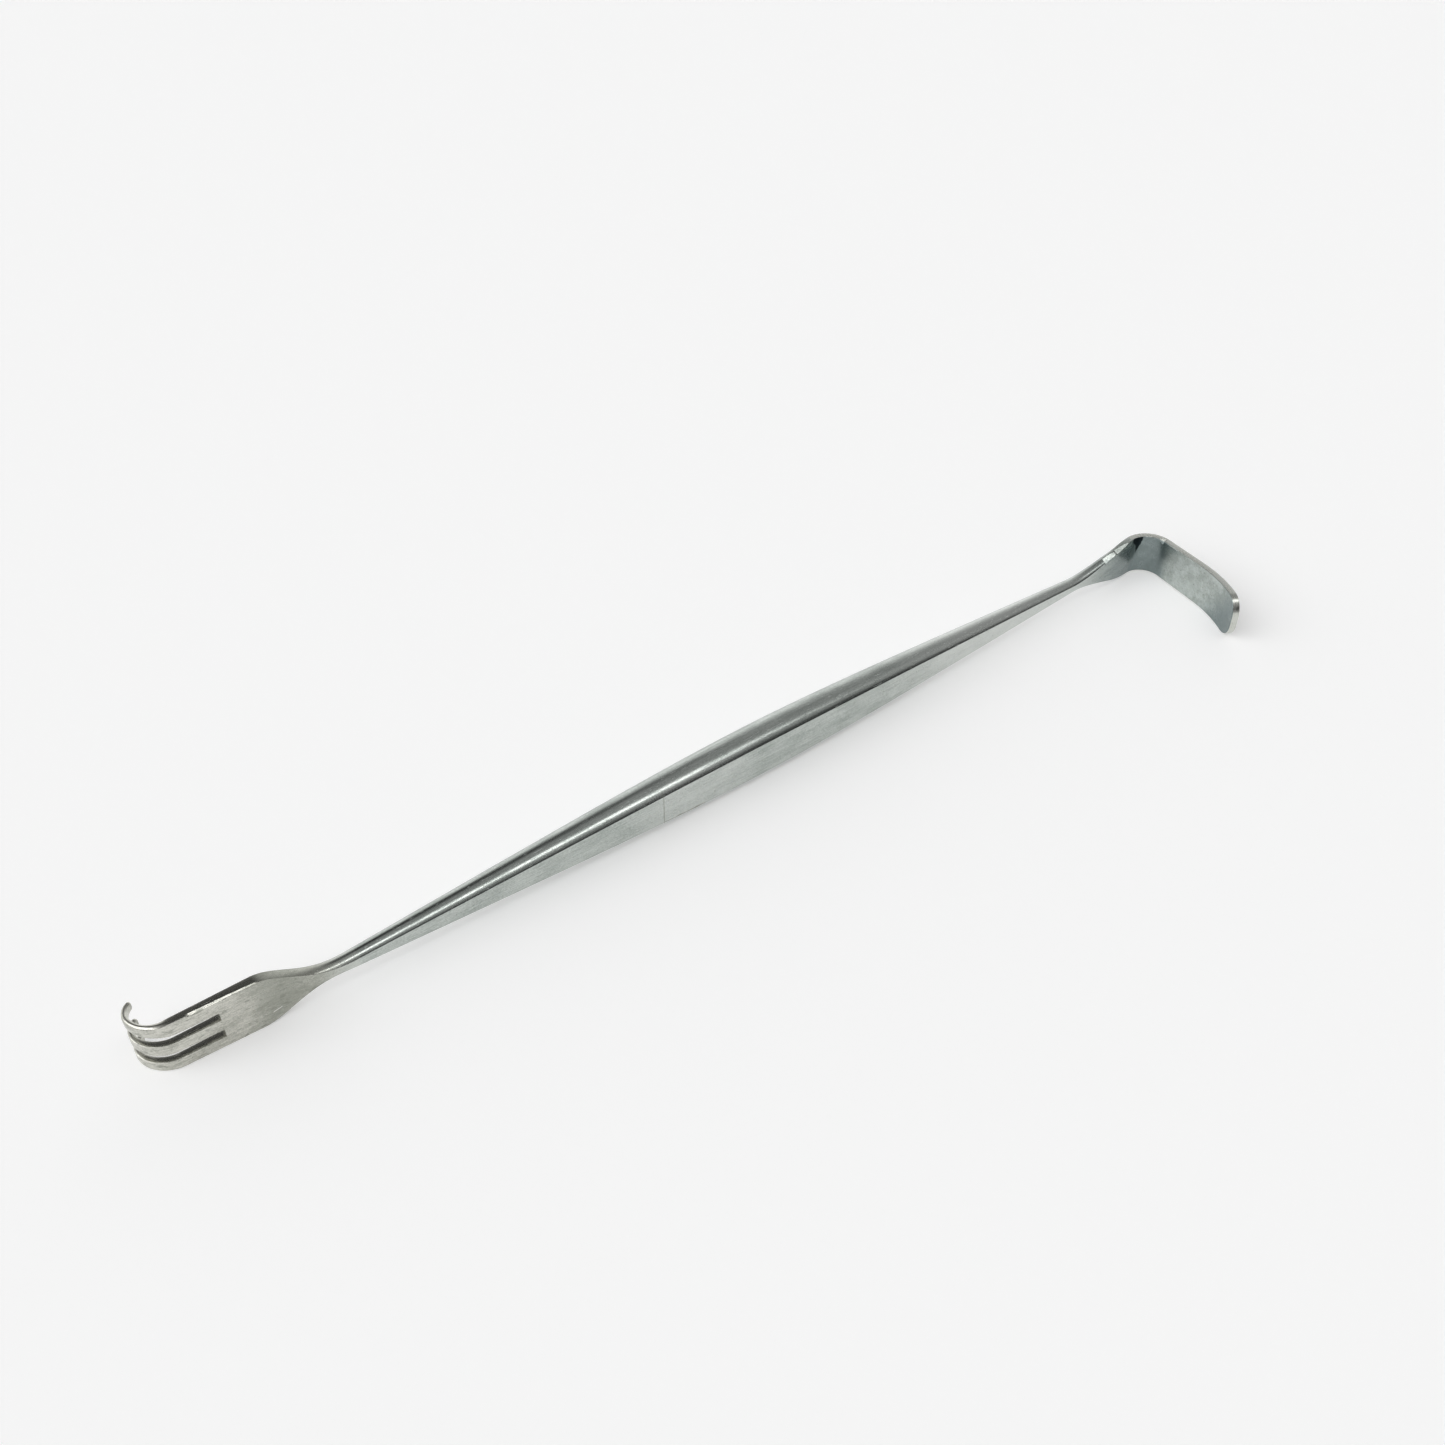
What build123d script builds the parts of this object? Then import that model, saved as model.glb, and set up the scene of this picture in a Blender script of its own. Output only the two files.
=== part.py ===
"""Double-ended hand retractor, lying on its side on the lower edges of its two ends.

One steel forging, divided at flat cut planes into the regions that a maker would name.
Millimetres. +X runs along the handle from the rake to the blade, +Y is the side that the
prongs curl to, +Z is up. The origin is the middle of the footprint, on the surface.
"""

import os
from math import cos, radians, sin, sqrt

from build123d import *

# Overall: the handle's axis stands AXIS_Y off the middle of the footprint
AXIS_Y = 7.07
AXIS_Z = 3.63

# Handle: flat sides with crowned edges, widest at BELLY_X and slimmer both ways
HANDLE_START, HANDLE_END = -55.0, 62.0
BELLY_X = 2.9
TAPER_SPAN = 50.0  # distance from the belly at which the slim sizes are reached
TAPER_SOFTNESS = 0.37  # 0 would be two straight tapers that meet at a point
BELLY_FLAT, SLIM_FLAT = 2.5, 0.9  # half height of the flat side
BELLY_THICK, SLIM_THICK = 2.2, 1.21  # half thickness across the flats
CROWN_SHARE = 0.5  # rise of the crowned edge, as a share of the half thickness
EDGE_CROWN = 0.03  # the ground edges of the palm and the blade are almost square

# Rake: neck, slotted palm and three curled prongs
FLARE_POWER = 1.7  # above 1, the neck widens later than it thins
PALM_X = -66.8  # the palm's shoulder
PALM_HEIGHT = 7.5
PALM_THICK, CURL_THICK = 1.28, 0.92  # at the shoulder, and where the prongs start to curl
PALM_SHIFT = 0.585  # how far the palm stands off the handle's axis, on the prongs' side
PALM_LEAN = 1.2  # degrees that the palm leans to the prongs' side
PALM_RUN = 4.3  # from the shoulder to the ends of the slots
SLOT_RUN = 4.87  # from the ends of the slots to where the prongs start to curl
CURL_RADIUS, CURL_TURN = 3.8, 78.5
HOOK_RADIUS, HOOK_TURN = 2.29, 74.4
TIP_THICK = 0.54
TIP_ROUND = 0.6  # length of the rounded point
SECTION_CORNER = 0.12
# Heights of each prong's lower and upper edge at the palm, and how far each closes in
PRONGS = {
    "prong_lower": (0.0, 1.54, 0.16, 0.18),
    "prong_middle": (2.66, 4.32, 0.11, 0.18),
    "prong_upper": (5.48, PALM_HEIGHT, 0.34, 0.46),
}

# Blade: neck set off to the prongs' side, right-angle bend, flat face and curved end
BLADE_THIN_X = 65.2  # where the neck starts to thin; it widens from the handle's end
SETOFF_X = 71.23
SETOFF_RADIUS, SETOFF_TURN, SETOFF_RUN = 16.1, 5.6, 2.75
BEND_RADIUS, BLADE_TURN = 3.58, 95.7  # the turn is from the handle to the flat face
FACE_RUN = 7.2
END_RADIUS, END_TURN = 20.2, 29.2
BLADE_THICK = 1.06
BEND_WIDTH, END_WIDTH = 6.15, 6.77
BLADE_Z = END_WIDTH / 2
END_CORNER = 2.6
MARGIN = 5.0  # spare length on cutting shapes


def taper(x):
    """0 at the belly, 1 at TAPER_SPAN from it, rounded over the middle."""
    run = (x - BELLY_X) / TAPER_SPAN
    soft = TAPER_SOFTNESS
    return (sqrt(run**2 + soft**2) - soft) / (sqrt(1 + soft**2) - soft)


def ease(value, low, high):
    """0 up to low, 1 from high, level at both."""
    t = min(max((value - low) / (high - low), 0.0), 1.0)
    return t * t * (3 - 2 * t)


def blend(share, first, second):
    return first + (second - first) * share


def evenly(low, high, count):
    return [blend(i / (count - 1), low, high) for i in range(count)]


def arc_length(radius, turn):
    return radius * radians(abs(turn))


def walk(start, heading, stretches, distance):
    """Plan position and heading after a distance along runs and arcs of (length, turn)."""
    x, y = start
    for length, turn in stretches:
        step = min(distance, length)
        half = turn * step / length / 2
        chord = step if half == 0 else step * sin(radians(half)) / radians(half)
        x += chord * cos(radians(heading + half))
        y += chord * sin(radians(heading + half))
        heading += 2 * half
        distance -= step
        if distance <= 0:
            break
    return x, y, heading


def cross_plane(x, y, z, heading=0.0):
    """Square to the heading, with local X to its left and local Y up."""
    across = (-sin(radians(heading)), cos(radians(heading)), 0)
    ahead = (cos(radians(heading)), sin(radians(heading)), 0)
    return Plane(origin=(x, AXIS_Y + y, z), x_dir=across, z_dir=ahead)


def bar_section(place, flat, thick, crown):
    """Flat sides and two crowned edges."""
    with BuildSketch(place) as section:
        with BuildLine():
            Line((thick, -flat), (thick, flat))
            ThreePointArc((thick, flat), (0, flat + crown), (-thick, flat))
            Line((-thick, flat), (-thick, -flat))
            ThreePointArc((-thick, -flat), (0, -flat - crown), (thick, -flat))
        make_face()
    return section.sketch


def handle_sizes(x):
    """Half flat height, half thickness and crown of the plain handle."""
    share = taper(x)
    thick = blend(share, BELLY_THICK, SLIM_THICK)
    return blend(share, BELLY_FLAT, SLIM_FLAT), thick, CROWN_SHARE * thick


def handle_section(x):
    return bar_section(cross_plane(x, 0, AXIS_Z), *handle_sizes(x))


def rake_neck_section(x):
    """From the slim handle to the palm: wider, thinner and squarer at the edges."""
    flat, thick, crown = handle_sizes(x)
    thin = ease(-x, -HANDLE_START, -PALM_X)
    widen = thin**FLARE_POWER
    middle = blend(widen, AXIS_Z, PALM_HEIGHT / 2)
    return bar_section(
        cross_plane(x, PALM_SHIFT * thin, middle),
        blend(widen, flat, PALM_HEIGHT / 2 - EDGE_CROWN),
        blend(thin, thick, PALM_THICK / 2),
        blend(thin, crown, EDGE_CROWN),
    )


# Stretches of the blade's middle line in plan, from the handle's end
SETOFF_PATH = [
    (SETOFF_X - HANDLE_END, 0),
    (arc_length(SETOFF_RADIUS, SETOFF_TURN), SETOFF_TURN),
    (SETOFF_RUN, 0),
]
BEND_START = sum(length for length, turn in SETOFF_PATH)


def blade_neck_section(distance):
    """From the slim handle to the blade's strip, along the set-off."""
    x, y, heading = walk((HANDLE_END, 0), 0, SETOFF_PATH, distance)
    flat, thick, crown = handle_sizes(HANDLE_END + distance)
    widen = ease(distance, 0, BEND_START)
    thin = ease(distance, BLADE_THIN_X - HANDLE_END, BEND_START)
    return bar_section(
        cross_plane(x, y, blend(widen, AXIS_Z, BLADE_Z), heading),
        blend(widen, flat, BEND_WIDTH / 2 - EDGE_CROWN),
        blend(thin, thick, BLADE_THICK / 2),
        blend(thin, crown, EDGE_CROWN),
    )


# Stretches of each prong's middle line in plan, from the ends of the slots
PRONG_PATH = [
    (SLOT_RUN, 0),
    (arc_length(CURL_RADIUS, CURL_TURN), -CURL_TURN),
    (arc_length(HOOK_RADIUS, HOOK_TURN), -HOOK_TURN),
]
PRONG_LENGTH = sum(length for length, turn in PRONG_PATH)
PALM_HEADING = 180 - PALM_LEAN
SLOT_END = walk((PALM_X, PALM_SHIFT), PALM_HEADING, [(PALM_RUN, 0)], PALM_RUN)
SLOT_END_THICK = blend(PALM_RUN / (PALM_RUN + SLOT_RUN), PALM_THICK, CURL_THICK)


def prong_section(distance, lower, upper, lower_taper, upper_taper):
    """Rounded oblong that shrinks along the curl and rounds off at the point."""
    x, y, heading = walk(SLOT_END[:2], PALM_HEADING, PRONG_PATH, distance)
    share = max(distance - SLOT_RUN, 0.0) / (PRONG_LENGTH - SLOT_RUN)
    into_point = max(distance - (PRONG_LENGTH - TIP_ROUND), 0.0) / TIP_ROUND
    point = sqrt(1 - (0.96 * into_point) ** 2)
    low = lower + lower_taper * share
    high = upper - upper_taper * share
    flat_thick = blend(min(distance / SLOT_RUN, 1.0), SLOT_END_THICK, CURL_THICK)
    thick = blend(share, flat_thick, TIP_THICK) * point
    with BuildSketch(cross_plane(x, y, (low + high) / 2, heading)) as section:
        RectangleRounded(thick, (high - low) * point, SECTION_CORNER * point)
    return section.sketch


with BuildPart() as handle:
    loft([handle_section(x) for x in evenly(HANDLE_START, HANDLE_END, 12)])
handle.part.label = "handle"

with BuildPart() as rake_neck:
    loft([rake_neck_section(x) for x in evenly(PALM_X, HANDLE_START, 9)])
rake_neck.part.label = "rake_neck"

with BuildPart() as rake_palm:
    shoulder_y, slot_y = AXIS_Y + PALM_SHIFT, AXIS_Y + SLOT_END[1]
    half_x = SLOT_END_THICK / 2 * sin(radians(PALM_LEAN))
    half_y = SLOT_END_THICK / 2 * cos(radians(PALM_LEAN))
    with BuildSketch(Plane.XY):
        with BuildLine():
            Polyline(
                (PALM_X, shoulder_y - PALM_THICK / 2),
                (PALM_X, shoulder_y + PALM_THICK / 2),
                (SLOT_END[0] + half_x, slot_y + half_y),
                (SLOT_END[0] - half_x, slot_y - half_y),
                close=True,
            )
        make_face()
    extrude(amount=PALM_HEIGHT)
rake_palm.part.label = "rake_palm"

with BuildPart() as blade_neck:
    loft([blade_neck_section(d) for d in evenly(0, BEND_START, 9)])
blade_neck.part.label = "blade_neck"

with BuildPart() as blade:
    start_x, start_y, heading = walk((HANDLE_END, 0), 0, SETOFF_PATH, BEND_START)
    ahead = (cos(radians(heading)), sin(radians(heading)))
    with BuildSketch(Plane.XY) as plan:
        with BuildLine():
            bend = JernArc(
                (start_x, AXIS_Y + start_y), ahead, BEND_RADIUS, -SETOFF_TURN - BLADE_TURN
            )
            face = Line(bend @ 1, bend @ 1 + (bend % 1) * FACE_RUN)
            end = JernArc(face @ 1, face % 1, END_RADIUS, -END_TURN)
        trace(line_width=BLADE_THICK)
    extrude(amount=END_WIDTH)
    reach = plan.sketch.bounding_box().min.Y
    side = start_y + AXIS_Y + MARGIN
    with BuildSketch(Plane.YZ.offset(start_x - MARGIN)):
        with BuildLine():
            Polyline(
                (side, BLADE_Z + BEND_WIDTH / 2),
                (AXIS_Y, BLADE_Z + BEND_WIDTH / 2),
                (reach, BLADE_Z + END_WIDTH / 2),
                (reach, BLADE_Z - END_WIDTH / 2),
                (AXIS_Y, BLADE_Z - BEND_WIDTH / 2),
                (side, BLADE_Z - BEND_WIDTH / 2),
                close=True,
            )
        outline = make_face()
        fillet(outline.vertices().group_by(Axis.Y)[0], END_CORNER)
    extrude(amount=3 * MARGIN, mode=Mode.INTERSECT)
blade.part.label = "blade"

prongs = []
for name, edges in PRONGS.items():
    with BuildPart() as prong:
        point_start = PRONG_LENGTH - TIP_ROUND
        loft([prong_section(d, *edges) for d in (0, SLOT_RUN)])
        loft([prong_section(d, *edges) for d in evenly(SLOT_RUN, point_start, 10)])
        loft([prong_section(d, *edges) for d in evenly(point_start, PRONG_LENGTH, 5)], ruled=True)
    prong.part.label = name
    prongs.append(prong)

os.makedirs("parts", exist_ok=True)
for piece in (handle, rake_neck, rake_palm, blade_neck, blade, *prongs):
    export_step(piece.part, f"parts/{piece.part.label}.step")
    size = piece.part.bounding_box()
    print(piece.part.label, round(piece.part.volume, 1), size.min, size.max)
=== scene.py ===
"""Looks of the hand retractor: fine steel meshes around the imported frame, floor, light and camera.

Shapes are worked out in millimetres in the row frame, then scaled to metres. One skin runs
from the ends of the slots through palm, neck and handle to the blade's rounded end, and is
cut into the frame's nodes at flat planes. The prongs are three skins of their own.
"""

from math import cos, pi, radians, sin, sqrt

import bpy
import numpy as np
from mathutils import Matrix, Vector


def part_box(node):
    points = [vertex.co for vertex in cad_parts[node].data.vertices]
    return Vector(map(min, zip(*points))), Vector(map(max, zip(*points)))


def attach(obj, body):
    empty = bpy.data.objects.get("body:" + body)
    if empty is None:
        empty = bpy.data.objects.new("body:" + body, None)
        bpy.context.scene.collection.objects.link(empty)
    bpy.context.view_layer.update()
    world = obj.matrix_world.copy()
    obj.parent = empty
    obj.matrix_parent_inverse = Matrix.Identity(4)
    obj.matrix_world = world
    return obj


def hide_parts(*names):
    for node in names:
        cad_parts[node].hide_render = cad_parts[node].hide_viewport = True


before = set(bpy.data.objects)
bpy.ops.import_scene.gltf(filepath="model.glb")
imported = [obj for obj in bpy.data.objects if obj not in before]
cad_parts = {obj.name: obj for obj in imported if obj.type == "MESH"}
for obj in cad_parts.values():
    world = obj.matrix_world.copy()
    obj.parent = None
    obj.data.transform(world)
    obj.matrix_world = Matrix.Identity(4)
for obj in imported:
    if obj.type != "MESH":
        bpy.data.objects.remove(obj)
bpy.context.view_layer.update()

MM = 0.001
BODY = "root"


def box_mm(node):
    low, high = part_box(node)
    return low / MM, high / MM


# ---------------------------------------------------------------- sizes, mm
handle_low, handle_high = box_mm("handle")
_, palm_high = box_mm("rake_palm")
blade_low, blade_high = box_mm("blade")

AXIS_Y = (handle_low.y + handle_high.y) / 2
AXIS_Z = (handle_low.z + handle_high.z) / 2
HANDLE_START, HANDLE_END = handle_low.x, handle_high.x
BELLY_X = 2.9
TAPER_SPAN, TAPER_SOFTNESS = 50.0, 0.37
BELLY_FLAT, SLIM_FLAT = 2.5, 0.9
BELLY_THICK, SLIM_THICK = 2.2, 1.21
CROWN_SHARE = 0.5
EDGE_CROWN = 0.02  # the ground edges of the palm and the blade are almost square

FLARE_POWER, PALM_X = 1.7, palm_high.x
PALM_HEIGHT = palm_high.z
PALM_THICK, CURL_THICK = 1.28, 0.92
PALM_SHIFT, PALM_LEAN, PALM_RUN = 0.585, 1.2, 4.3
SLOT_RUN = 4.87
CURL_RADIUS, CURL_TURN = 3.8, 78.5
HOOK_RADIUS, HOOK_TURN = 2.29, 74.4
TIP_THICK = 0.54
PRONGS = {  # lower and upper edge at the palm, and how far each closes in
    "prong_lower": (0.0, 1.54, 0.16, 0.18),
    "prong_middle": (2.66, 4.32, 0.11, 0.18),
    "prong_upper": (5.48, PALM_HEIGHT, 0.34, 0.46),
}

BLADE_THIN_X = 65.2
SETOFF_X, SETOFF_RADIUS, SETOFF_TURN, SETOFF_RUN = 71.23, 16.1, 5.6, 2.75
BEND_RADIUS, BLADE_TURN, FACE_RUN = 3.58, 95.7, 7.2
END_RADIUS, END_TURN = 20.2, 29.2
BLADE_THICK, BEND_WIDTH, END_WIDTH = 1.06, 6.15, blade_high.z
BLADE_Z = END_WIDTH / 2
END_CORNER = 2.6

# Ground facets on the front top edge: the normal's angle up from the side, the depth below the
# edge, half the length and the tilt along the path; angles in degrees
PALM_FACET_ANGLE, PALM_FACET_DEPTH = 57, 0.11
NECK_FACET_ANGLE, NECK_FACET_DEPTH, NECK_FACET_TILT = 58, 0.2, -12
NECK_FACETS = ((70.2, 0.9), (73.1, 1.2))  # X of the middle, half length
BEND_FACETS = ((3.3, 52, 0.07, 0.4, 0), (5.1, 54, 0.09, 0.7, 20))  # first: from the bend's start

# ------------------------------------------------------------- small maths


def ease(value, low, high):
    t = np.clip((value - low) / (high - low), 0.0, 1.0)
    return t * t * (3 - 2 * t)


def blend(share, first, second):
    return first + (second - first) * share


def arc_length(radius, turn):
    return radius * radians(abs(turn))


def plateau(value, start, end, soft):
    """1 between start and end, easing to 0 over soft on both sides."""
    return ease(value, start - soft, start) * (1 - ease(value, end, end + soft))


def walk(start, heading, stretches, distances):
    """Plan x, y and heading (radians) at distances along runs and arcs of (length, turn)."""
    out = []
    for distance in distances:
        x, y = start
        angle = heading
        left = distance
        for number, (length, turn) in enumerate(stretches):
            last = number == len(stretches) - 1
            step = left if last else min(left, length)
            half = turn * step / length / 2
            chord = step if half == 0 else step * sin(radians(half)) / radians(half)
            x += chord * cos(radians(angle + half))
            y += chord * sin(radians(angle + half))
            angle += 2 * half
            left -= step
            if left <= 0:
                break
        out.append((x, y, radians(angle)))
    return np.array(out).T


# ------------------------------------------------------------ skin builder

FILLET_STEPS, CROWN_STEPS = 4, 14
FLAT_SHARES = np.array([0, 0.015, 0.03, 0.05, 0.08, 0.25, 0.5, 0.75, 0.92, 0.95, 0.97, 0.985, 1])
ROWS = len(FLAT_SHARES) - 1
CORNER_STEPS = 16
FACET_END = 0.25  # run over which a ground facet starts and ends, mm
FACET_SOFT = 0.012  # depth over which the normals turn to the facet's own, mm


def quadrant(thick, crown, fillet):
    """Section from the flat side (angle 0) over a small fillet and the crowned edge to its top.

    Returns the distance from the middle, the drop below the outline, and the normal's angle.
    """
    radius = (thick**2 + crown**2) / (2 * crown)
    meet = np.arccos(np.clip((thick - fillet) / (radius - fillet), -1, 1))
    steps = np.linspace(0, 1, FILLET_STEPS + 1)
    first = meet[:, None] * steps[None, :]
    steps = np.linspace(0, 1, CROWN_STEPS + 1)[1:]
    second = meet[:, None] + (pi / 2 - meet)[:, None] * steps[None, :]
    across = np.hstack(
        [
            (thick - fillet)[:, None] + fillet[:, None] * np.cos(first),
            radius[:, None] * np.cos(second),
        ]
    )
    low = radius - (radius - fillet) * np.sin(meet)
    drop = np.hstack(
        [
            low[:, None] - fillet[:, None] * np.sin(first),
            radius[:, None] * (1 - np.sin(second)),
        ]
    )
    return across, drop, np.hstack([first, second])


def extend(values, end):
    """Values at the stations, followed by the end value for each step of the rounded corner."""
    return np.concatenate([values, np.full(CORNER_STEPS, end)])


def outline(stations, heights, way, corner):
    """Points (along, up), outward directions and slope of the top (way 1) or bottom (way -1)."""
    points = np.stack([stations, heights], 1)
    out = np.stack([np.zeros_like(stations), np.full_like(stations, way)], 1)
    angles = np.linspace(pi / 2, 0, CORNER_STEPS + 1)[1:]
    turned = np.stack([np.cos(angles), way * np.sin(angles)], 1)
    middle = np.array([stations[-1], heights[-1] - way * corner])
    slope = extend(np.gradient(heights, stations), 0)
    return np.vstack([points, middle + corner * turned]), np.vstack([out, turned]), slope


def nearest(values, target):
    return int(np.argmin(abs(values - target)))


class Skin:
    """A closed bar or strip swept along a plan path, rounded at the far end."""

    def __init__(self, stations, place, thick, crown, fillet, top, bottom, corner, shift=None):
        """All arguments but place and corner are arrays, one value for each station.

        top and bottom are the outline's heights, place turns distances into plan positions,
        and corner is the radius of the two corners at the far end.
        """
        shift = np.zeros_like(stations) if shift is None else shift
        self.place = place
        self.thick_slope, self.shift_slope = (
            extend(slope, slope[-1])
            for slope in (np.gradient(thick, stations), np.gradient(shift, stations))
        )
        self.thick, crown, fillet, self.shift = (
            extend(values, values[-1]) for values in (thick, crown, fillet, shift)
        )
        self.section = quadrant(self.thick, crown, fillet)
        self.top = outline(stations, top, 1, corner)
        self.bottom = outline(stations, bottom, -1, corner)

        # Where each stretch starts in a ring: front flat, top edge, back flat, bottom edge
        self.chain = self.section[0].shape[1]
        self.edge = 2 * self.chain - 3
        self.first_top = ROWS + 1
        self.first_back = self.first_top + self.edge
        self.first_bottom = self.first_back + ROWS + 1
        up, down = slice(1, self.chain), slice(self.chain - 2, 0, -1)
        parts = [
            self.flat_grid(-1),
            self.edge_grid(self.top, -1, up),
            self.edge_grid(self.top, 1, down),
            tuple(part[:, ::-1] for part in self.flat_grid(1)),
            self.edge_grid(self.bottom, 1, up),
            self.edge_grid(self.bottom, -1, down),
        ]
        self.local = np.concatenate([p[0] for p in parts], 1)
        self.normal = np.concatenate([p[1] for p in parts], 1)
        self.rings, self.around = self.local.shape[:2]
        self.end_local, end_normal = self.end_strip()
        self.grain_turn = np.ones(3)
        self.world, self.world_normal = self.turned(self.local, self.normal)
        self.end_world, self.end_normal = self.turned(self.end_local, end_normal)

    def edge_grid(self, line, side, columns):
        """Points and normals of one quadrant: side -1 is the front, +1 the back."""
        point, out, rise = line
        across, drop, angle = (part[:, columns] for part in self.section)
        sz = point[:, None, :] - drop[:, :, None] * out[:, None, :]
        slant = (self.thick_slope + side * self.shift_slope)[:, None]
        normal_s = (
            np.sin(angle) * (out[:, None, 0] - out[:, None, 1] * rise[:, None])
            - np.cos(angle) * slant
        )
        place = np.stack([sz[..., 0], side * across + self.shift[:, None], sz[..., 1]], -1)
        up = np.sin(angle) * out[:, None, 1]
        return place, np.stack([normal_s, side * np.cos(angle), up], -1)

    def flat_grid(self, side):
        """Points and normals of the flat side between its bottom and top fillets."""
        share = FLAT_SHARES[None, :, None]
        drop = self.section[1][:, :1]
        low = self.bottom[0] - drop * self.bottom[1]
        high = self.top[0] - drop * self.top[1]
        sz = low[:, None, :] * (1 - share) + high[:, None, :] * share
        shape = sz.shape[:2]
        across = np.broadcast_to((side * self.thick + self.shift)[:, None], shape)
        slant = -(self.thick_slope + side * self.shift_slope)
        ahead = np.broadcast_to(slant[:, None], shape)
        normal = np.stack([ahead, np.full(shape, float(side)), np.zeros(shape)], -1)
        return np.stack([sz[..., 0], across, sz[..., 1]], -1), normal

    def end_strip(self):
        """Grid of the rounded end's own rows, between the last ring's two flat sides."""
        last, normal = self.local[-1], self.normal[-1]
        top = slice(self.first_top, self.first_back)
        z_low = last[self.first_bottom + self.chain - 2, 2]
        z_high = last[self.first_top + self.chain - 2, 2]
        shape = (ROWS + 1, self.edge, 3)
        local = np.broadcast_to(last[top][None], shape).copy()
        local[..., 2] = z_low + (z_high - z_low) * FLAT_SHARES[:, None]
        return local, np.broadcast_to(normal[top][None], shape).copy()

    def turned(self, local, normal):
        """World positions and unit normals from (along, across, up)."""
        shape = local.shape
        local, normal = local.reshape(-1, 3), normal.reshape(-1, 3)
        along, index = np.unique(local[:, 0].round(6), return_inverse=True)
        x, y, heading = (row[index] for row in self.place(along))
        left = np.stack([-np.sin(heading), np.cos(heading)], 1)
        ahead = np.stack([np.cos(heading), np.sin(heading)], 1)
        plan = np.stack([x, y], 1) + local[:, 1:2] * left
        world = np.column_stack([plan, local[:, 2]])
        n = normal[:, :1] * ahead + normal[:, 1:2] * left
        n = np.column_stack([n, normal[:, 2]])
        n /= np.linalg.norm(n, axis=1, keepdims=True)
        return world.reshape(shape), n.reshape(shape)

    def grind(self, station, angle, depth, reach, tilt=0.0, side=-1):
        """Cuts a flat facet into the top edge: a plane at a normal angle up from the side.

        depth is how far the plane lies under the surface at the station, and tilt turns it
        along the path, in degrees.
        """
        along = self.local[:, 0, 0]
        heading = float(self.place(np.array([station]))[2][0])
        left = np.array([-sin(heading), cos(heading), 0.0])
        ahead = np.array([cos(heading), sin(heading), 0.0])
        up = np.array([0.0, 0.0, 1.0])
        normal = side * left * cos(radians(angle)) + up * sin(radians(angle))
        normal = normal * cos(radians(tilt)) + ahead * sin(radians(tilt))
        near = plateau(along, station - reach, station + reach, FACET_END)
        height = self.world @ normal
        level = height[nearest(along, station)].max() - depth
        over = near[:, None] * np.maximum(height - level, 0)
        self.world -= over[..., None] * normal
        weight = ease(over, 0.0, FACET_SOFT)[..., None]
        turned = self.world_normal * (1 - weight) + normal * weight
        self.world_normal = turned / np.linalg.norm(turned, axis=-1, keepdims=True)

    def end_faces(self, ring, base):
        """Faces of the rounded end: ring is the last ring's first vertex, base the strip's."""
        edge = self.edge

        def at(row, column):
            """Vertex of the end strip: column 0 and edge + 1 lie on the flat sides."""
            if column == 0:
                return ring + row
            if column == edge + 1:
                return ring + self.first_back + ROWS - row
            if row == 0:
                return ring + self.first_bottom + edge - column
            if row == ROWS:
                return ring + self.first_top + column - 1
            return base + (row - 1) * edge + column - 1

        return [
            (at(row, column), at(row, column + 1), at(row + 1, column + 1), at(row + 1, column))
            for row in range(ROWS)
            for column in range(edge + 1)
        ]

    def piece(self, name, start, end=None):
        """A closed mesh object of the rings from start to end, or from start to the round end."""
        along, around = self.local[:, 0, 0], self.around
        first = nearest(along, start)
        last = self.rings - 1 if end is None else nearest(along, end)
        count = last - first + 1
        vertices, normals, grain = (
            part[first : last + 1].reshape(-1, 3)
            for part in (self.world, self.world_normal, self.local)
        )
        faces = []
        if end is None:
            faces = self.end_faces((count - 1) * around, len(vertices))
            inner = slice(1, ROWS)
            vertices = np.vstack([vertices, self.end_world[inner].reshape(-1, 3)])
            normals = np.vstack([normals, self.end_normal[inner].reshape(-1, 3)])
            grain = np.vstack([grain, self.end_local[inner].reshape(-1, 3)])
        for ring in range(0, (count - 1) * around, around):
            for j in range(around):
                a, b = ring + j, ring + (j + 1) % around
                faces.append((a, a + around, b + around, b))
        loops = [normals[v] for face in faces for v in face]

        caps = [(first, range(around), -1)]
        if end is not None:
            caps.append((last, reversed(range((count - 1) * around, count * around)), 1))
        for ring, face, way in caps:
            heading = self.place(along[ring : ring + 1])[2][0]
            faces.append(tuple(face))
            loops.extend([(way * cos(heading), way * sin(heading), 0)] * around)
        return mesh_object(name, vertices, faces, loops, grain * self.grain_turn)


def mesh_object(name, vertices, faces, loops, grain):
    """Mesh in metres with given corner normals, and the grain's own coordinates in mm."""
    mesh = bpy.data.meshes.new(name)
    mesh.from_pydata((vertices * MM).tolist(), [], faces)
    mesh.shade_smooth()
    mesh.normals_split_custom_set([tuple(n) for n in loops])
    attribute = mesh.attributes.new("grain", "FLOAT_VECTOR", "POINT")
    attribute.data.foreach_set("vector", grain.astype(np.float32).ravel())
    piece = bpy.data.objects.new(name, mesh)
    bpy.context.scene.collection.objects.link(piece)
    return piece


# ---------------------------------------------------- the shank's one skin

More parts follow.
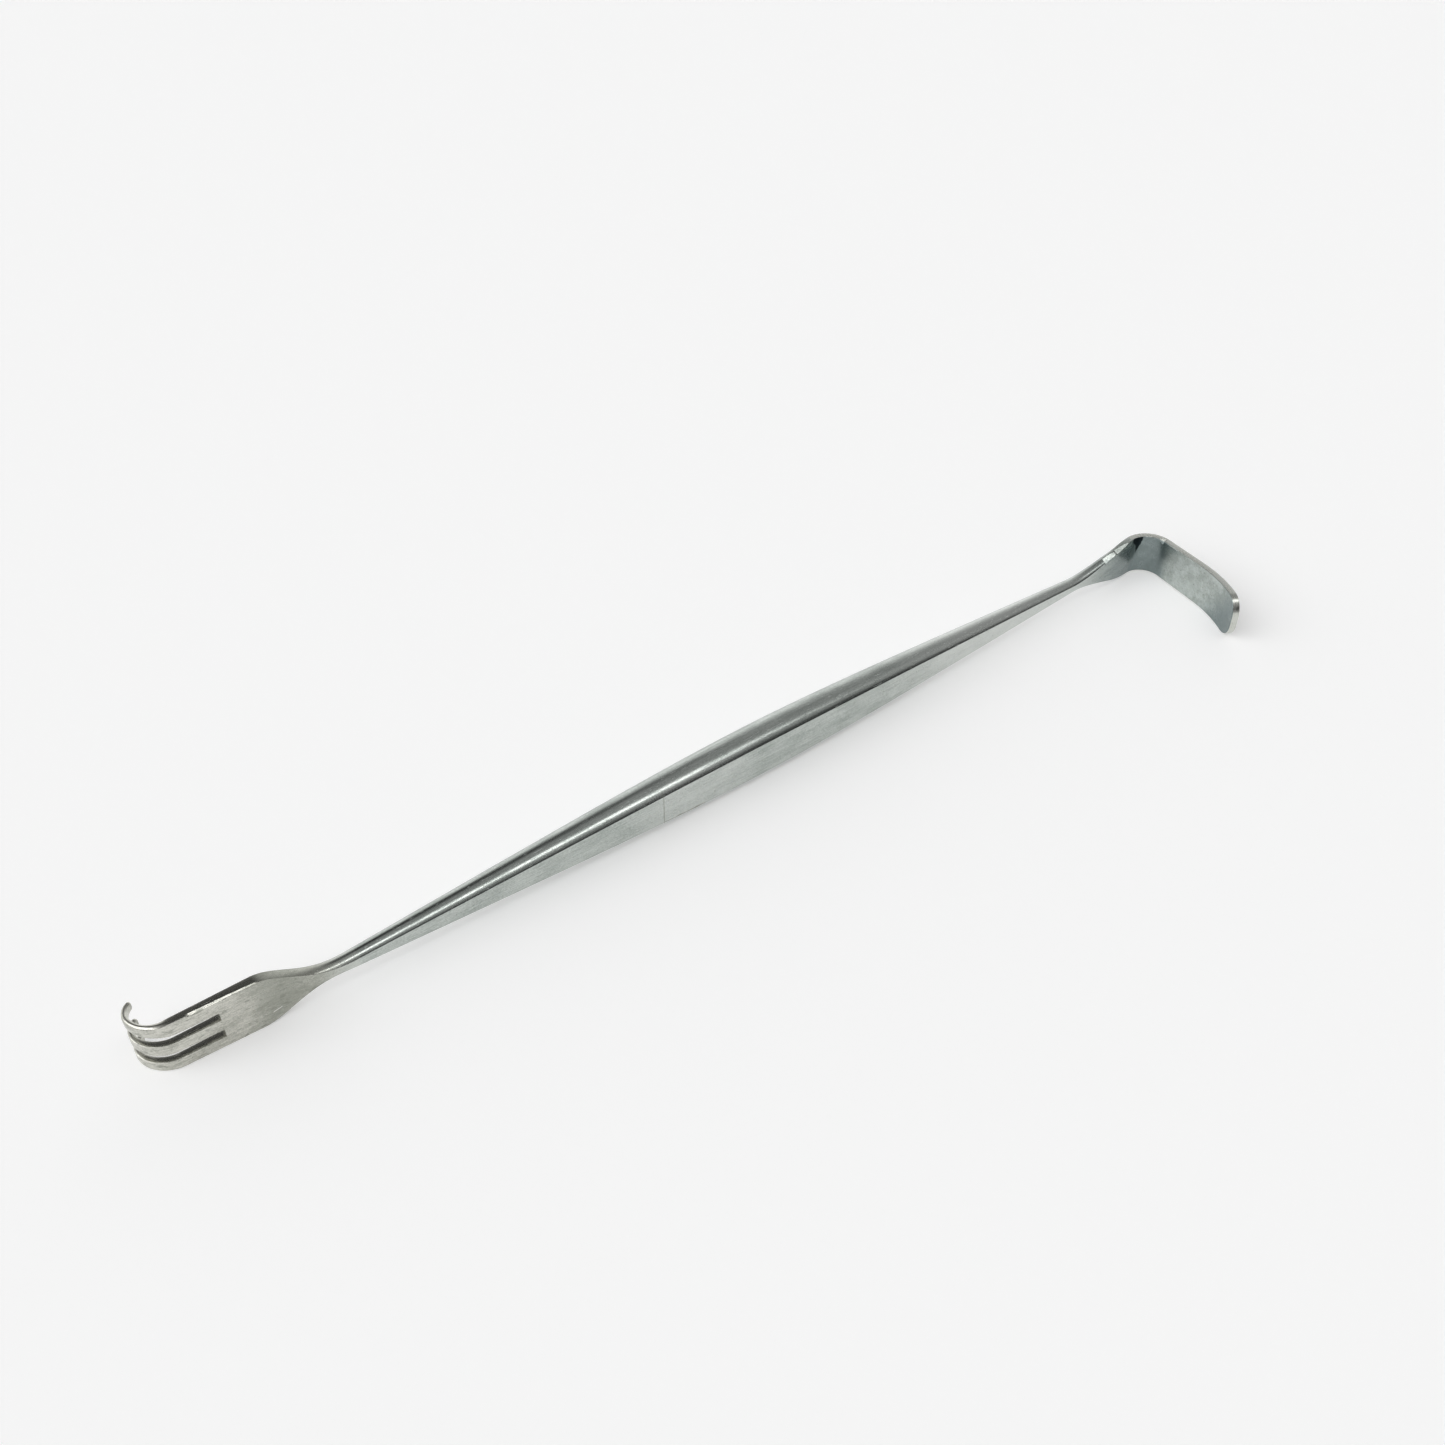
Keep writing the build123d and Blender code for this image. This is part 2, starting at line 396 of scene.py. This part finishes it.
SLOT_X = PALM_X - PALM_RUN * cos(radians(PALM_LEAN))
SLOT_Y = AXIS_Y + PALM_SHIFT + PALM_RUN * sin(radians(PALM_LEAN))
SLOT_END_THICK = blend(PALM_RUN / (PALM_RUN + SLOT_RUN), PALM_THICK, CURL_THICK)
PALM_SLOPE = 1.1  # degrees between the palm's middle line and its front face
KNEE = 0.3  # half length of the arc that stands for the palm's lean
SHANK_PATH = [
    (PALM_RUN - KNEE, 0),
    (2 * KNEE, PALM_LEAN),
    (SETOFF_X - PALM_X - KNEE, 0),
    (arc_length(SETOFF_RADIUS, SETOFF_TURN), SETOFF_TURN),
    (SETOFF_RUN, 0),
    (arc_length(BEND_RADIUS, SETOFF_TURN + BLADE_TURN), -SETOFF_TURN - BLADE_TURN),
    (FACE_RUN, 0),
    (arc_length(END_RADIUS, END_TURN), -END_TURN),
]
S_PALM = PALM_RUN
S_HANDLE = PALM_RUN + HANDLE_START - PALM_X
S_HANDLE_END = PALM_RUN + HANDLE_END - PALM_X
S_BEND = sum(length for length, turn in SHANK_PATH[:5])
S_FACE = S_BEND + SHANK_PATH[5][0]
S_CURVE = S_FACE + FACE_RUN
S_END = sum(length for length, turn in SHANK_PATH)


def shank_place(distances):
    """The handle's own axis, from the slots' ends on; the palm stands to its left."""
    lean = radians(PALM_LEAN)
    start = (SLOT_X - PALM_SHIFT * sin(lean), SLOT_Y - PALM_SHIFT * cos(lean))
    return walk(start, -PALM_LEAN, SHANK_PATH, distances)


def spread(*ranges):
    """Stations over (start, end, step) ranges that meet end to end."""
    values = []
    for start, end, step in ranges:
        count = max(int(round((end - start) / step)), 1)
        values.extend(np.linspace(start, end, count + 1)[:-1])
    return np.array([*values, ranges[-1][1]])


def shank_skin():
    s = spread(
        (0, S_PALM, 0.5),
        (S_PALM, S_HANDLE, 0.25),
        (S_HANDLE, S_HANDLE_END, 1.0),
        (S_HANDLE_END, S_BEND, 0.25),
        (S_BEND, S_FACE, 0.15),
        (S_FACE, S_CURVE, 0.6),
        (S_CURVE, S_END - END_CORNER, 0.3),
    )
    x = np.minimum(s, S_BEND) - PALM_RUN + PALM_X
    run = (x - BELLY_X) / TAPER_SPAN
    soft = TAPER_SOFTNESS
    taper = (np.sqrt(run**2 + soft**2) - soft) / (sqrt(1 + soft**2) - soft)
    flat = blend(taper, BELLY_FLAT, SLIM_FLAT)
    thick = blend(taper, BELLY_THICK, SLIM_THICK)

    thin = ease(-x, -HANDLE_START, -PALM_X)
    widen = thin**FLARE_POWER
    palm_thick = blend(np.clip(s / S_PALM, 0, 1), SLOT_END_THICK, PALM_THICK)
    thick = blend(thin, thick, palm_thick / 2)
    crown = blend(thin, CROWN_SHARE * thick, EDGE_CROWN)
    flat = blend(widen, flat, PALM_HEIGHT / 2 - EDGE_CROWN)
    middle = blend(widen, AXIS_Z, PALM_HEIGHT / 2)

    reach = ease(s, S_HANDLE_END, S_BEND)
    slim = ease(s, S_HANDLE_END + BLADE_THIN_X - HANDLE_END, S_BEND)
    middle = blend(reach, middle, BLADE_Z)
    flat = blend(reach, flat, BEND_WIDTH / 2 - EDGE_CROWN)
    thick = blend(slim, thick, BLADE_THICK / 2)
    crown = blend(slim, crown, EDGE_CROWN)
    fillet = blend(slim, blend(thin, 0.10, 0.04), 0.08)

    y = shank_place(s)[1]
    on_blade = s > S_BEND
    blade_half = np.interp(y, [blade_low.y, AXIS_Y], [END_WIDTH / 2, BEND_WIDTH / 2])
    half = np.where(on_blade, blade_half, flat + crown)
    skin = Skin(
        s,
        shank_place,
        thick,
        crown,
        fillet,
        middle + half,
        middle - half,
        END_CORNER,
        shift=PALM_SHIFT * thin,
    )
    grind_shank(skin)
    return skin


def grind_shank(skin):
    half = S_PALM / 2
    skin.grind(half, PALM_FACET_ANGLE, PALM_FACET_DEPTH, half + 0.3, tilt=-PALM_SLOPE)
    for x, run in NECK_FACETS:
        station = x - PALM_X + PALM_RUN
        skin.grind(station, NECK_FACET_ANGLE, NECK_FACET_DEPTH, run, tilt=NECK_FACET_TILT)
    for distance, angle, depth, run, tilt in BEND_FACETS:
        skin.grind(S_BEND + distance, angle, depth, run, tilt=tilt)


# ------------------------------------------------------------- the prongs

PRONG_PATH = [
    (SLOT_RUN, 0),
    (arc_length(CURL_RADIUS, CURL_TURN), -CURL_TURN),
    (arc_length(HOOK_RADIUS, HOOK_TURN), -HOOK_TURN),
]
PRONG_LENGTH = sum(length for length, turn in PRONG_PATH)
TIP_CORNER = 0.45


def prong_place(distances):
    return walk((SLOT_X, SLOT_Y), 180 - PALM_LEAN, PRONG_PATH, distances)


def prong_skin(lower, upper, lower_taper, upper_taper):
    s = spread((0, SLOT_RUN, 0.5), (SLOT_RUN, PRONG_LENGTH - TIP_CORNER, 0.12))
    share = np.clip((s - SLOT_RUN) / (PRONG_LENGTH - SLOT_RUN), 0, 1)
    flat_thick = blend(np.clip(s / SLOT_RUN, 0, 1), SLOT_END_THICK, CURL_THICK)
    top_prong = upper == PALM_HEIGHT
    rounded = ease(share, 0.0, 0.35) if top_prong else 0.4 * ease(share, 0.2, 0.9)
    skin = Skin(
        s,
        prong_place,
        blend(share, flat_thick, TIP_THICK) / 2,
        blend(rounded, EDGE_CROWN, 0.3),
        blend(rounded, 0.05, 0.1),
        upper - upper_taper * share,
        lower + lower_taper * share,
        TIP_CORNER,
    )
    skin.grain_turn = np.array([-1, -1, 1])  # carries the palm's grain on over the slot ends
    if top_prong:
        half = SLOT_RUN * 0.3
        skin.grind(half, PALM_FACET_ANGLE, PALM_FACET_DEPTH, half, tilt=PALM_SLOPE, side=1)
    return skin

# -------------------------------------------------------------- materials


class Nodes:
    """Short calls that add shader nodes and link them."""

    def __init__(self, tree):
        self.tree = tree
        tree.nodes.clear()

    def new(self, kind, **settings):
        node = self.tree.nodes.new(kind)
        for key, value in settings.items():
            setattr(node, key, value)
        return node

    def link(self, source, target):
        self.tree.links.new(source, target)

    def feed(self, socket, value):
        if isinstance(value, bpy.types.NodeSocket):
            self.link(value, socket)
        else:
            socket.default_value = value

    def maths(self, operation, a, b=0.0, c=None):
        node = self.new("ShaderNodeMath", operation=operation)
        self.feed(node.inputs[0], a)
        self.feed(node.inputs[1], b)
        if c is not None:
            self.feed(node.inputs[2], c)
        return node.outputs[0]

    def ramp(self, value, low, high, to_low=0.0, to_high=1.0, smooth=True):
        node = self.new("ShaderNodeMapRange", clamp=True)
        node.interpolation_type = "SMOOTHSTEP" if smooth else "LINEAR"
        for socket, item in zip(node.inputs, (value, low, high, to_low, to_high)):
            self.feed(socket, item)
        return node.outputs[0]

    def vector(self, operation, a, b):
        node = self.new("ShaderNodeVectorMath", operation=operation)
        self.feed(node.inputs[0], a)
        self.feed(node.inputs[1], b)
        return node.outputs["Value" if operation == "DISTANCE" else "Vector"]

    def mix(self, share, first, second):
        """Mix of two colours; its colour sockets are 6, 7 and 2, as their names repeat."""
        node = self.new("ShaderNodeMix", data_type="RGBA")
        self.feed(node.inputs["Factor"], share)
        self.feed(node.inputs[6], first)
        self.feed(node.inputs[7], second)
        return node.outputs[2]

    def noise(self, coordinates, scale, detail=2.0, roughness=0.5):
        """Noise with its own number of cells per mm along, across and up."""
        node = self.new("ShaderNodeTexNoise")
        self.feed(node.inputs["Vector"], self.vector("MULTIPLY", coordinates, scale))
        node.inputs["Scale"].default_value = 1.0
        node.inputs["Detail"].default_value = detail
        node.inputs["Roughness"].default_value = roughness
        return node.outputs["Fac"]


def steel(name, light, dark, rough, streaks, grain_depth, marks):
    """Satin steel: long streaks, fine grain, smudges and a few scratches.

    rough is the roughness of light and dark steel, streaks the cells per mm along, across and
    up, grain_depth is in mm, and marks(nodes, grain) returns a list of (mask, colour, extra
    roughness) laid over the plain finish.
    """
    material = bpy.data.materials.new(name)
    material.use_nodes = True
    nodes = Nodes(material.node_tree)
    grain = nodes.new("ShaderNodeAttribute", attribute_name="grain").outputs["Vector"]
    out = nodes.new("ShaderNodeOutputMaterial")
    shader = nodes.new("ShaderNodeBsdfPrincipled")
    shader.inputs["Metallic"].default_value = 1.0
    nodes.link(shader.outputs[0], out.inputs["Surface"])

    streak = nodes.noise(grain, streaks, detail=4.0, roughness=0.65)
    fine = nodes.noise(grain, (3.6, 4.5, 4.5), detail=4.0, roughness=0.8)
    cloud = nodes.noise(grain, (0.22, 0.5, 0.5))
    tone = nodes.maths("MULTIPLY_ADD", streak, 0.4, nodes.maths("MULTIPLY", fine, 0.45))
    tone = nodes.maths("MULTIPLY_ADD", cloud, 0.25, tone)
    colour = nodes.mix(nodes.ramp(tone, 0.42, 0.66), dark, light)
    roughness = nodes.ramp(tone, 0.35, 0.75, rough[1], rough[0])

    scratch = nodes.noise(grain, (0.25, 16.0, 16.0), detail=1.0)
    hit = nodes.ramp(scratch, 0.71, 0.76)
    roughness = nodes.maths("MULTIPLY_ADD", hit, 0.12, roughness)

    for mask, paint, extra in marks(nodes, grain):
        colour = nodes.mix(mask, colour, paint)
        roughness = nodes.maths("MULTIPLY_ADD", mask, extra, roughness)

    height = nodes.maths("MULTIPLY_ADD", streak, 0.6, nodes.maths("MULTIPLY", fine, 0.4))
    height = nodes.maths("MULTIPLY_ADD", hit, -0.5, height)
    bump = nodes.new("ShaderNodeBump")
    bump.inputs["Strength"].default_value = 1.0
    bump.inputs["Distance"].default_value = grain_depth * MM
    nodes.link(height, bump.inputs["Height"])
    nodes.link(bump.outputs["Normal"], shader.inputs["Normal"])
    nodes.link(colour, shader.inputs["Base Color"])
    nodes.link(roughness, shader.inputs["Roughness"])
    return material


LIGHT_STEEL = (0.57, 0.605, 0.575, 1)
DARK_STEEL = (0.36, 0.395, 0.37, 1)
WARM_STEEL = (0.66, 0.655, 0.60, 1)
WARM_DARK = (0.38, 0.385, 0.34, 1)
PALE_STEEL = (0.68, 0.70, 0.675, 1)
COOL_STEEL = (0.53, 0.575, 0.555, 1)
# Blue-grey: painted shade low on the blade neck, and tarnished steel with painted dark reflection on
# the blade
BLUE_TARNISH_AND_SHADE = (0.15, 0.19, 0.195, 1)
# Dark stain for the real marks, also used for the palm's painted shade towards the neck
STAIN_AND_SHADE = (0.26, 0.275, 0.235, 1)
# Painted dark reflection, for the wedge in the blade's bend
PAINTED_DARK_REFLECTION = (0.015, 0.022, 0.025, 1)
BRIGHT = (0.9, 0.9, 0.88, 1)

def band(nodes, value, start, end, soft):
    """1 between start and end, fading to 0 over soft on both sides."""
    rise = nodes.ramp(value, start - soft, start)
    return nodes.maths("MULTIPLY", rise, nodes.ramp(value, end, end + soft, 1.0, 0.0))


def axes(nodes, grain):
    split = nodes.new("ShaderNodeSeparateXYZ")
    nodes.link(grain, split.inputs[0])
    return [split.outputs[k] for k in "XYZ"]


# Marks, in mm along, across and up from the skin's start. The front flats lie at the low end of
# across, and each pair is where a mask fades out or in.
HANDLE_FRONT = (-1.6, -1.5)
BLADE_INNER = (-0.45, -0.4)
WORN_X = -13.2  # where the worn patch on the handle's front flat starts
WORN_RUN, WORN_FADE, WORN_SHARE = 9.0, 7.0, 0.35
WORN_LINE, WORN_LINE_SHARE = 0.05, 0.6  # half width of the crisp line at its start
FOOT_RUN, FOOT_FADE, FOOT_UP = 5.0, 2.0, (1.3, 1.62)  # dark foot below the worn patch
PALE_RUN, PALE_FADE, PALE_SHARE = (20, 12), 22.0, 0.6  # before the handle's end
# Painted shade low on the blade neck: how dark it gets at the bend, and the heights over which it
# fades out towards the top
NECK_SHADE_SHARE, NECK_SHADE_TOP = 0.7, (5.2, 5.7)
# Painted shade darkening the palm towards the neck: where it grows in, and where it fades past
PALM_SHADE_ALONG, PALM_SHADE_PAST = (3.0, 7.5), (8.0, 15.0)
SCRATCH_ALONG, SCRATCH_UP, SCRATCH_SLANT = (5.6, 6.5), (0.3, 0.36), -0.25
NECK_PALER = 6.0  # run before the handle over which the neck takes on its steel
# Tarnished steel with painted dark reflection in the bend and along the blade's low end
BEND_TARNISH_AND_SHADE = (1.4, 0.4, 2.4)  # from the bend's start, past its end, fade
LOW_END_RUN, LOW_END_SLANT = 3.5, -0.8
# Painted dark reflection: the wedge in the bend
WEDGE_PLACE, WEDGE_RISE, WEDGE_FOOT = 2.1, 0.4, -1.45  # dark wedge that widens upwards


def handle_marks(nodes, grain):
    """Slim ends paler, painted shade low on the blade neck, a worn patch with a crisp start on the
    front flat, and dark speckles.
    """
    along, across, up = axes(nodes, grain)
    front = nodes.ramp(across, *HANDLE_FRONT, 1.0, 0.0)
    start = WORN_X - PALM_X + PALM_RUN
    line = band(nodes, along, start - WORN_LINE, start + WORN_LINE, 0.06)
    line = nodes.maths("MULTIPLY", front, line)
    wobble = nodes.maths("MULTIPLY_ADD", nodes.noise(grain, (0.9, 0.9, 0.9)), 0.5, up)
    foot = nodes.maths("MULTIPLY", front, band(nodes, along, start, start + FOOT_RUN, FOOT_FADE))
    foot = nodes.maths("MULTIPLY", foot, band(nodes, wobble, *FOOT_UP, 0.12))
    worn = nodes.maths("MULTIPLY", front, band(nodes, along, start, start + WORN_RUN, WORN_FADE))
    speckle = nodes.ramp(nodes.noise(grain, (3.0, 5.0, 5.0)), 0.66, 0.74, 0.0, 0.55)
    pale = band(nodes, along, *(S_HANDLE_END - run for run in PALE_RUN), PALE_FADE)
    # painted shade on the blade neck's lower part, deepening towards the bend
    neck_shade = nodes.ramp(along, S_HANDLE_END, S_BEND, 0.0, NECK_SHADE_SHARE)
    neck_shade = nodes.maths("MULTIPLY", neck_shade, nodes.ramp(up, *NECK_SHADE_TOP, 1.0, 0.0))
    return [
        (nodes.maths("MULTIPLY", pale, PALE_SHARE), PALE_STEEL, 0.0),
        (neck_shade, BLUE_TARNISH_AND_SHADE, 0.03),
        (nodes.maths("MULTIPLY", worn, WORN_SHARE), PALE_STEEL, 0.04),
        (speckle, STAIN_AND_SHADE, 0.05),
        (foot, STAIN_AND_SHADE, 0.1),
        (nodes.maths("MULTIPLY", line, WORN_LINE_SHARE), STAIN_AND_SHADE, 0.1),
    ]


def palm_marks(nodes, grain):
    """Coarse painted shade darkening the palm towards the neck, smudges and one pale scratch."""
    along, _, up = axes(nodes, grain)
    wobble = nodes.noise(grain, (0.5, 0.5, 0.8), detail=3.0)
    reach = nodes.maths("MULTIPLY_ADD", wobble, 3.0, along)
    # painted shade: the palm darker towards the neck, with a wavering edge
    palm_shade = nodes.ramp(reach, *PALM_SHADE_ALONG, 0.0, 0.6)
    past = nodes.ramp(along, *PALM_SHADE_PAST, 1.0, 0.25)
    smudge = nodes.ramp(nodes.noise(grain, (0.8, 1.2, 1.6)), 0.6, 0.7, 0.0, 0.6)
    slanted = nodes.maths("MULTIPLY_ADD", along, SCRATCH_SLANT, up)
    scratch = band(nodes, along, *SCRATCH_ALONG, 0.2)
    scratch = nodes.maths("MULTIPLY", scratch, band(nodes, slanted, *SCRATCH_UP, 0.05))
    return [
        (nodes.maths("MULTIPLY", palm_shade, past), STAIN_AND_SHADE, 0.06),
        (smudge, STAIN_AND_SHADE, 0.05),
        (nodes.maths("MULTIPLY", scratch, 0.8), BRIGHT, 0.0),
        (nodes.ramp(along, S_HANDLE - NECK_PALER, S_HANDLE, 0.0, 0.8), LIGHT_STEEL, 0.0),
    ]


def blade_marks(nodes, grain):
    """Tarnish with painted dark reflection in the bend and along the blade's low end, paler in
    between.

    The wedge in the bend stands in for the reflection of something dark beside the object.
    """
    along, across, up = axes(nodes, grain)
    inner = nodes.ramp(across, *BLADE_INNER, 1.0, 0.0)
    noise = nodes.noise(grain, (0.6, 0.6, 0.6), detail=3.0)
    wobble = nodes.maths("MULTIPLY_ADD", noise, 1.6, along)
    start, past, fade = BEND_TARNISH_AND_SHADE
    bend = nodes.maths("MULTIPLY", band(nodes, wobble, S_BEND + start, S_FACE + past, fade), inner)
    low_end = nodes.maths("MULTIPLY_ADD", up, LOW_END_SLANT, wobble)
    low_end = nodes.ramp(low_end, S_CURVE, S_END - LOW_END_RUN, 0.0, 0.8)
    low_end = nodes.maths("MULTIPLY", low_end, inner)
    rim = nodes.maths("SUBTRACT", 0.6, nodes.maths("MULTIPLY", inner, 0.6))
    middle = nodes.maths("ABSOLUTE", nodes.maths("SUBTRACT", wobble, S_BEND + WEDGE_PLACE))
    half_width = nodes.maths("MULTIPLY_ADD", up, WEDGE_RISE, WEDGE_FOOT)
    wedge = nodes.ramp(nodes.maths("SUBTRACT", half_width, middle), -0.1, 0.25)
    return [
        # tarnished steel with painted dark reflection in the bend and along the low end
        (nodes.maths("MULTIPLY", bend, 0.75), BLUE_TARNISH_AND_SHADE, 0.04),
        (low_end, BLUE_TARNISH_AND_SHADE, 0.04),
        (rim, WARM_STEEL, 0.0),
        # painted dark reflection of something dark beside the object
        (nodes.maths("MULTIPLY", wedge, inner), PAINTED_DARK_REFLECTION, 0.1),
    ]


def make_materials():
    """Material for each kind of piece."""
    looks = {
        "handle": (LIGHT_STEEL, DARK_STEEL, (0.18, 0.3), (0.14, 7.0, 7.0), 0.009, handle_marks),
        "palm": (WARM_STEEL, WARM_DARK, (0.2, 0.3), (0.6, 5.0, 5.0), 0.006, palm_marks),
        "blade": (COOL_STEEL, DARK_STEEL, (0.22, 0.3), (0.9, 0.9, 0.9), 0.003, blade_marks),
    }
    return {kind: steel("steel_" + kind, *look) for kind, look in looks.items()}


# ------------------------------------------------------- floor, light, camera

FLOOR_HALF = 3.0  # metres
FLOOR_DROP = 0.01  # mm under the object
FLOOR_COLOUR, FLOOR_GLOW = (0.85, 0.85, 0.85, 1), 0.25
GLOW_COLOUR = (1.0, 1.0, 1.0, 1)


def make_floor():
    size = FLOOR_HALF
    mesh = bpy.data.meshes.new("floor")
    corners = [(-size, -size, 0), (size, -size, 0), (size, size, 0), (-size, size, 0)]
    mesh.from_pydata(corners, [], [(0, 1, 2, 3)])
    floor = bpy.data.objects.new("floor", mesh)
    bpy.context.scene.collection.objects.link(floor)
    floor.location.z = -FLOOR_DROP * MM
    material = bpy.data.materials.new("floor_paper")
    material.use_nodes = True
    nodes = Nodes(material.node_tree)
    out = nodes.new("ShaderNodeOutputMaterial")
    shader = nodes.new("ShaderNodeBsdfPrincipled")
    shader.inputs["Base Color"].default_value = FLOOR_COLOUR
    shader.inputs["Roughness"].default_value = 1.0
    shader.inputs["Specular IOR Level"].default_value = 0.0
    shader.inputs["Emission Color"].default_value = GLOW_COLOUR
    shader.inputs["Emission Strength"].default_value = FLOOR_GLOW
    nodes.link(shader.outputs[0], out.inputs["Surface"])
    mesh.materials.append(material)


# The studio, as patches of brightness by direction: centre, radii, and the fade from and to
AMBIENT = 0.42
SHADE, SHADE_LEVEL = ((0.1, 0.62, 0.76), (0.42, 0.42, 0.42), 0.35, 1.0), 0.04
FRONT, FRONT_LEVEL = ((0.4, -0.8, 0.36), (0.9, 0.45, 0.32), 0.65, 1.0), 0.12
LAMP, LAMP_LEVEL = ((0.15, -0.36, 0.9), (0.5, 0.13, 0.5), 0.45, 1.0), 3.4
LEFT, LEFT_LEVEL = ((-0.75, 0.1, 0.65), (0.55, 0.8, 0.5), 0.6, 1.0), 2.5


def make_world():
    """A studio as brightness by direction: long overhead light, bright low back, dark gaps."""
    world = bpy.data.worlds.new("studio")
    bpy.context.scene.world = world
    world.use_nodes = True
    nodes = Nodes(world.node_tree)
    out = nodes.new("ShaderNodeOutputWorld")
    background = nodes.new("ShaderNodeBackground")
    nodes.link(background.outputs[0], out.inputs["Surface"])
    direction = nodes.new("ShaderNodeTexCoord").outputs["Generated"]
    _, y, z = axes(nodes, direction)

    def patch(centre, radii, inner, outer):
        """1 inside an ellipsoid around a direction, fading out from inner to outer."""
        scale = tuple(1 / r for r in radii)
        moved = nodes.vector("MULTIPLY", nodes.vector("SUBTRACT", direction, centre), scale)
        away = nodes.vector("DISTANCE", moved, (0.0, 0.0, 0.0))
        return nodes.ramp(away, inner, outer, 1.0, 0.0)

    low_back = nodes.maths("MULTIPLY", nodes.ramp(z, 0.85, 0.1), nodes.ramp(y, 0.0, 0.5))
    level = nodes.maths("ADD", low_back, AMBIENT)
    for place, share in ((SHADE, SHADE_LEVEL), (FRONT, FRONT_LEVEL)):
        dark = nodes.ramp(patch(*place), 0.0, 1.0, 1.0, share, smooth=False)
        level = nodes.maths("MULTIPLY", level, dark)
    for place, strength in ((LAMP, LAMP_LEVEL), (LEFT, LEFT_LEVEL)):
        level = nodes.maths("MULTIPLY_ADD", patch(*place), strength, level)
    nodes.link(level, background.inputs["Strength"])


CAMERA_AZIMUTH, CAMERA_ELEVATION, CAMERA_ROLL = -37.5, 41.53, 0.25
CAMERA_DISTANCE = 212.43
CAMERA_TARGET = (5.2, AXIS_Y + 10.0, 0.0)
SENSOR_WIDTH, LENS = 36.0, 38.56


def make_camera():
    target = Vector(CAMERA_TARGET) * MM
    away = Matrix.Translation((0, 0, CAMERA_DISTANCE * MM))
    data = bpy.data.cameras.new("camera")
    data.sensor_width = SENSOR_WIDTH
    data.lens = LENS
    data.clip_start = 0.001
    camera = bpy.data.objects.new("camera", data)
    turn = Matrix.Rotation(radians(CAMERA_AZIMUTH), 4, "Z")
    turn = turn @ Matrix.Rotation(radians(90 - CAMERA_ELEVATION), 4, "X")
    turn = turn @ Matrix.Rotation(radians(CAMERA_ROLL), 4, "Z")
    camera.matrix_world = Matrix.Translation(target) @ turn @ away
    bpy.context.scene.collection.objects.link(camera)
    bpy.context.scene.camera = camera


# ------------------------------------------------------------------- build


def finish_piece(piece, node, material):
    piece.data.materials.append(material)
    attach(piece, BODY)
    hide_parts(node)


def build():
    materials = make_materials()
    shank = shank_skin()
    cuts = [
        ("rake_palm", 0, S_PALM, "palm"),
        ("rake_neck", S_PALM, S_HANDLE, "palm"),
        ("handle", S_HANDLE, S_HANDLE_END, "handle"),
        ("blade_neck", S_HANDLE_END, S_BEND, "handle"),
        ("blade", S_BEND, None, "blade"),
    ]
    for node, start, end, look in cuts:
        finish_piece(shank.piece("steel_" + node, start, end), node, materials[look])
    for node, edges in PRONGS.items():
        prong = prong_skin(*edges)
        finish_piece(prong.piece("steel_" + node, 0), node, materials["palm"])


make_camera()
make_world()
make_floor()
build()
bpy.context.scene.view_settings.view_transform = "Standard"
